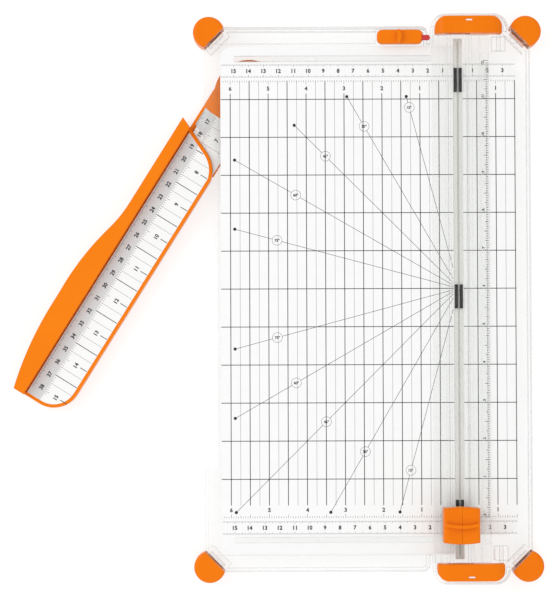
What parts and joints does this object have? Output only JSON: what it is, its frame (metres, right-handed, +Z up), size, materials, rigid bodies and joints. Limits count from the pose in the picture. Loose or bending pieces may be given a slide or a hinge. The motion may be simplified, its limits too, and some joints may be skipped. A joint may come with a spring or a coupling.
{
  "type": "rotary paper trimmer",
  "caption": "Clear-based rotary paper trimmer with a printed deck, hinged blade rail, sliding cutting head, rail latch and swing-out ruler arm.",
  "frame": {"origin": "on the table, under the middle of the cut line", "axes": "+Z up; +Y along the cut line towards the latch; +X towards the rail's hinge side"},
  "size_m": [0.3534, 0.3816, 0.0422],
  "materials": {
    "clear_plastic": "clear, polished",
    "printed_white": "printed sheet, satin",
    "printed_clear": "clear film with printed marks",
    "grey_mat": "soft, matt",
    "orange_plastic": "moulded, satin",
    "red_plastic": "moulded, satin",
    "black_rubber": "matt",
    "steel": "ground",
    "white_plastic": "moulded, matt",
    "grey_plastic": "moulded, matt"
  },
  "bodies": {
    "base": {"base_tray": "clear_plastic", "deck_panel_left": "printed_white", "deck_panel_right": "printed_white", "cutting_strip": "grey_mat", "foot_rear_left": "orange_plastic", "foot_rear_right": "orange_plastic", "foot_front_left": "orange_plastic", "foot_front_right": "orange_plastic", "foot_pads": "black_rubber", "arm_pivot_screw": "steel", "arm_pivot_washer": "steel", "hinge_pin_front": "clear_plastic", "hinge_pin_rear": "clear_plastic"},
    "rail": {"rail": "clear_plastic", "rail_ruler": "printed_clear", "rail_cap_front": "orange_plastic", "rail_cap_rear": "orange_plastic", "rail_grip_pads": "black_rubber", "cap_clips": "white_plastic"},
    "latch": {"latch_slider": "orange_plastic", "latch_bolt": "red_plastic", "latch_retainer": "grey_plastic", "latch_screw": "steel"},
    "carriage": {"carriage_runner": "grey_plastic", "press_spring_left": "steel", "press_spring_right": "steel"},
    "head": {"head_shell_left": "orange_plastic", "head_shell_right": "orange_plastic", "blade_axle": "steel"},
    "blade": {"rotary_blade": "steel", "blade_hub": "grey_plastic"},
    "arm": {"ruler_arm": "orange_plastic", "arm_scale_label": "printed_white", "arm_inner_label": "printed_white", "arm_pivot_bush": "grey_plastic", "arm_glide_pad": "black_rubber"}
  },
  "joints": [
    {"name": "arm_swing", "type": "hinge", "parent": "base", "child": "arm", "pos_m": [-0.1399, 0.1378, 0.007], "axis": [0, 0, 1], "range_deg": [-57.9, 32.1]},
    {"name": "rail_lift", "type": "hinge", "parent": "base", "child": "rail", "pos_m": [0.027, 0, 0.0215], "axis": [0, 1, 0], "range_deg": [0, 40]},
    {"name": "latch_slide", "type": "slide", "parent": "base", "child": "latch", "axis": [1, 0, 0], "range_m": [0, 0.004]},
    {"name": "head_slide", "type": "slide", "parent": "rail", "child": "carriage", "axis": [0, 1, 0], "range_m": [-0.0124, 0.3136]},
    {"name": "head_press", "type": "slide", "parent": "carriage", "child": "head", "axis": [0, 0, -1], "range_m": [0, 0.0024], "stiffness_N_per_m": 600, "springref_m": -0.003, "deforming": ["press_spring_left", "press_spring_right"]},
    {"name": "blade_spin", "type": "hinge", "parent": "head", "child": "blade", "pos_m": [0, -0.1506, 0.0284], "axis": [1, 0, 0], "continuous": true}
  ]
}
